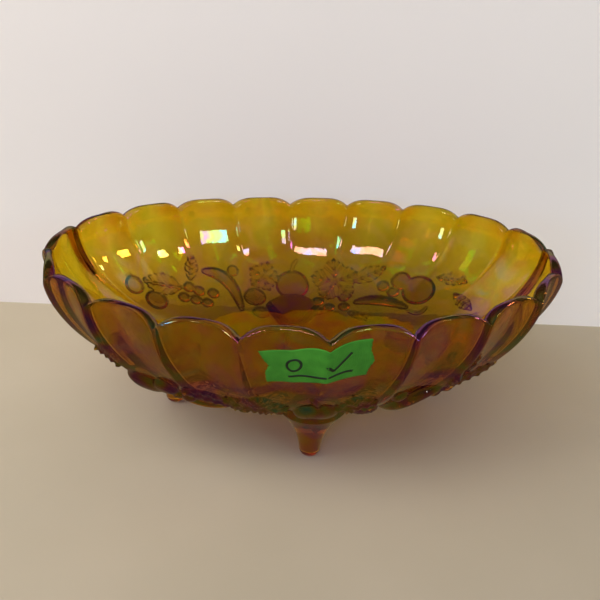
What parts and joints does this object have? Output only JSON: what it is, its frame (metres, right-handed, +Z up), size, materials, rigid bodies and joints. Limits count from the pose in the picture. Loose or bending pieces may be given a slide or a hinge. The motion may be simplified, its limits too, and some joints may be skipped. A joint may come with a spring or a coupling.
{
  "type": "oval footed glass bowl",
  "caption": "Oval pressed-glass fruit bowl in iridescent amber with a scalloped rim, fluted panels, a moulded fruit garland and tapered feet.",
  "frame": {"origin": "on the surface that the bowl stands on, under the centre of the oval rim", "axes": "+X along the bowl's long axis to its right end, +Y from the front wall, which carries the tape, to the rear wall, +Z up"},
  "size_m": [0.3048, 0.216, 0.108],
  "materials": {
    "amber_glass": "fire-polished pressed glass with an iridescent coating",
    "green_tape": "matt creped paper tape"
  },
  "bodies": {
    "root": {"bowl": "amber_glass", "foot_front": "amber_glass", "foot_rear": "amber_glass", "foot_left": "amber_glass", "foot_right": "amber_glass", "plums_rear": "amber_glass", "grapes_rear": "amber_glass", "bananas_rear": "amber_glass", "strawberries_rear": "amber_glass", "apple_rear": "amber_glass", "pear_rear": "amber_glass", "cherries_rear": "amber_glass", "grape_leaves_rear": "amber_glass", "oval_leaves_rear": "amber_glass", "stems_rear": "amber_glass", "plums_front": "amber_glass", "grapes_front": "amber_glass", "bananas_front": "amber_glass", "strawberries_front": "amber_glass", "apple_front": "amber_glass", "pear_front": "amber_glass", "cherries_front": "amber_glass", "grape_leaves_front": "amber_glass", "oval_leaves_front": "amber_glass", "stems_front": "amber_glass", "lot_tape": "green_tape"}
  },
  "joints": []
}
